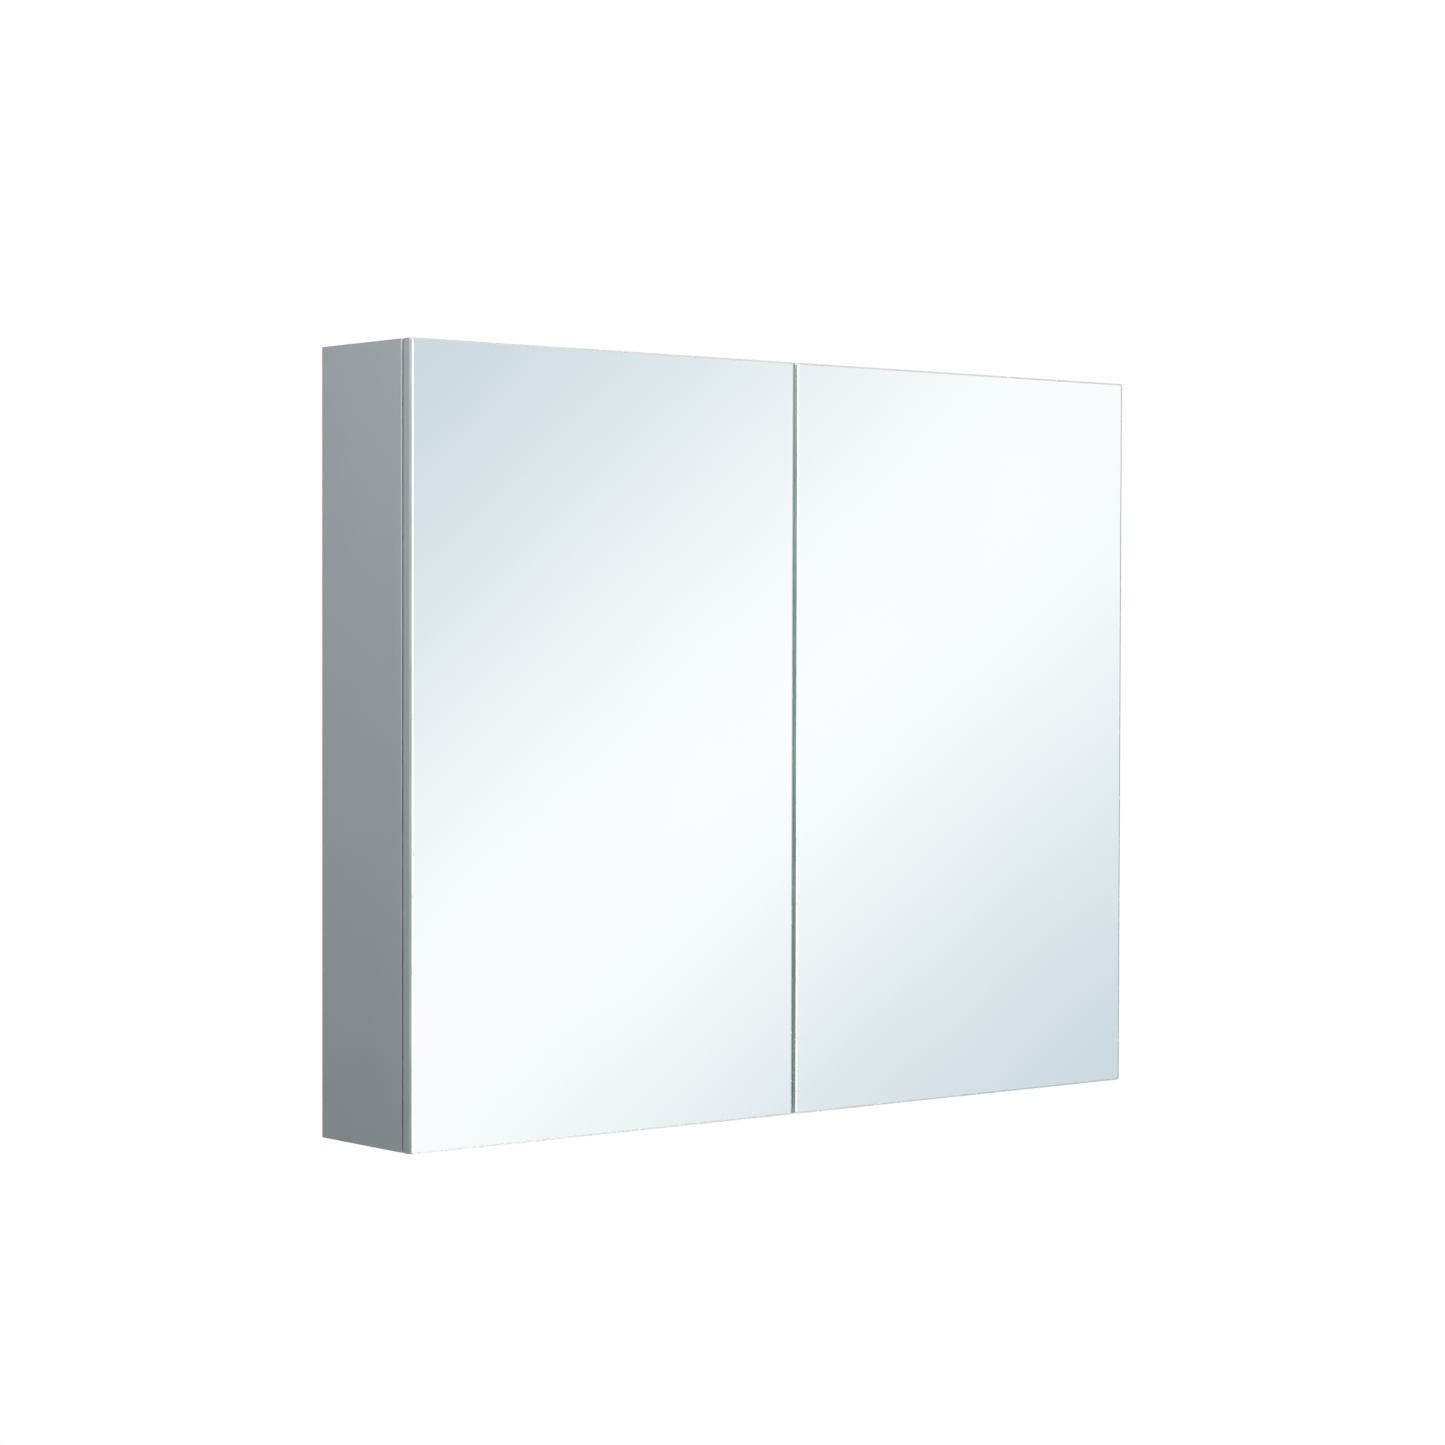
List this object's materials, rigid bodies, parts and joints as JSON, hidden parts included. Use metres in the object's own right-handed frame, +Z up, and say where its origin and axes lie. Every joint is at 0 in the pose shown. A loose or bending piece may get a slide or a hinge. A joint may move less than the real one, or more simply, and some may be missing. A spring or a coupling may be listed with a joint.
{
  "type": "mirrored wall cabinet",
  "caption": "Shallow frameless wall cabinet with two full-height mirrored doors on concealed hinges, glass shelves inside and no handles.",
  "frame": {"origin": "middle of the wall plane, halfway across and halfway up the cabinet", "axes": "+X to the right of someone facing the doors, +Y into the wall, +Z up"},
  "size_m": [0.8, 0.13, 0.65],
  "materials": {
    "lacquered_board": "grey gloss lacquer on fibreboard",
    "back_board": "smooth satin-coated board",
    "rail_plywood": "bare sanded plywood",
    "dowel_wood": "bare beech",
    "mirror_glass": "silvered float glass with a polished arris",
    "shelf_glass": "clear float glass with a faint green edge",
    "nickel_steel": "nickel-plated pressed steel",
    "pin_steel": "ground steel",
    "plated_fixings": "nickel-plated, machined",
    "die_cast_zinc": "die-cast zinc",
    "spring_steel": "drawn spring wire",
    "latch_plastic": "moulded, fine texture",
    "cap_plastic": "moulded, fine texture",
    "magnet": "sintered magnet"
  },
  "bodies": {
    "cabinet": {"side_panel_left": "lacquered_board", "side_panel_right": "lacquered_board", "top_panel": "lacquered_board", "bottom_panel": "lacquered_board", "centre_partition": "lacquered_board", "back_panel": "back_board", "hanging_rail_top": "rail_plywood", "hanging_rail_bottom": "rail_plywood", "carcass_dowels": "dowel_wood", "cam_bolts": "plated_fixings", "cam_discs": "die_cast_zinc", "shelf_upper_left": "shelf_glass", "shelf_lower_left": "shelf_glass", "shelf_upper_right": "shelf_glass", "shelf_lower_right": "shelf_glass", "shelf_pins": "plated_fixings", "hinge_plate_upper_left": "nickel_steel", "hinge_plate_lower_left": "nickel_steel", "hinge_plate_upper_right": "nickel_steel", "hinge_plate_lower_right": "nickel_steel", "plate_screws": "plated_fixings", "hinge_arm_upper_left": "nickel_steel", "hinge_arm_lower_left": "nickel_steel", "hinge_arm_upper_right": "nickel_steel", "hinge_arm_lower_right": "nickel_steel", "arm_clamp_screws": "plated_fixings", "arm_adjusting_screws": "plated_fixings", "latch_housing_left": "latch_plastic", "latch_housing_right": "latch_plastic", "latch_end_cap_left": "cap_plastic", "latch_end_cap_right": "cap_plastic", "latch_spring_left": "spring_steel", "latch_spring_right": "spring_steel", "latch_screws": "plated_fixings"},
    "door_left": {"hinge_pot_upper_left": "nickel_steel", "hinge_pot_lower_left": "nickel_steel", "hinge_pin_upper_left": "pin_steel", "hinge_pin_lower_left": "pin_steel", "pot_screws_left": "plated_fixings", "door_board_left": "lacquered_board", "mirror_left": "mirror_glass", "strike_plate_left": "nickel_steel"},
    "door_right": {"hinge_pot_upper_right": "nickel_steel", "hinge_pot_lower_right": "nickel_steel", "hinge_pin_upper_right": "pin_steel", "hinge_pin_lower_right": "pin_steel", "pot_screws_right": "plated_fixings", "door_board_right": "lacquered_board", "mirror_right": "mirror_glass", "strike_plate_right": "nickel_steel"},
    "plunger_left": {"latch_plunger_left": "latch_plastic", "latch_magnet_left": "magnet"},
    "plunger_right": {"latch_plunger_right": "latch_plastic", "latch_magnet_right": "magnet"}
  },
  "joints": [
    {"name": "left_door_hinge", "type": "hinge", "parent": "cabinet", "child": "door_left", "pos_m": [-0.3946, -0.123, 0], "axis": [0, 0, -1], "range_deg": [0, 105]},
    {"name": "right_door_hinge", "type": "hinge", "parent": "cabinet", "child": "door_right", "pos_m": [0.3946, -0.123, 0], "axis": [0, 0, 1], "range_deg": [0, 105]},
    {"name": "left_latch_press", "type": "slide", "parent": "cabinet", "child": "plunger_left", "axis": [0, 1, 0], "range_m": [0, 0.002], "stiffness_N_per_m": 300, "springref_m": -0.01, "deforming": ["latch_spring_left"]},
    {"name": "right_latch_press", "type": "slide", "parent": "cabinet", "child": "plunger_right", "axis": [0, 1, 0], "range_m": [0, 0.002], "stiffness_N_per_m": 300, "springref_m": -0.01, "deforming": ["latch_spring_right"]}
  ]
}
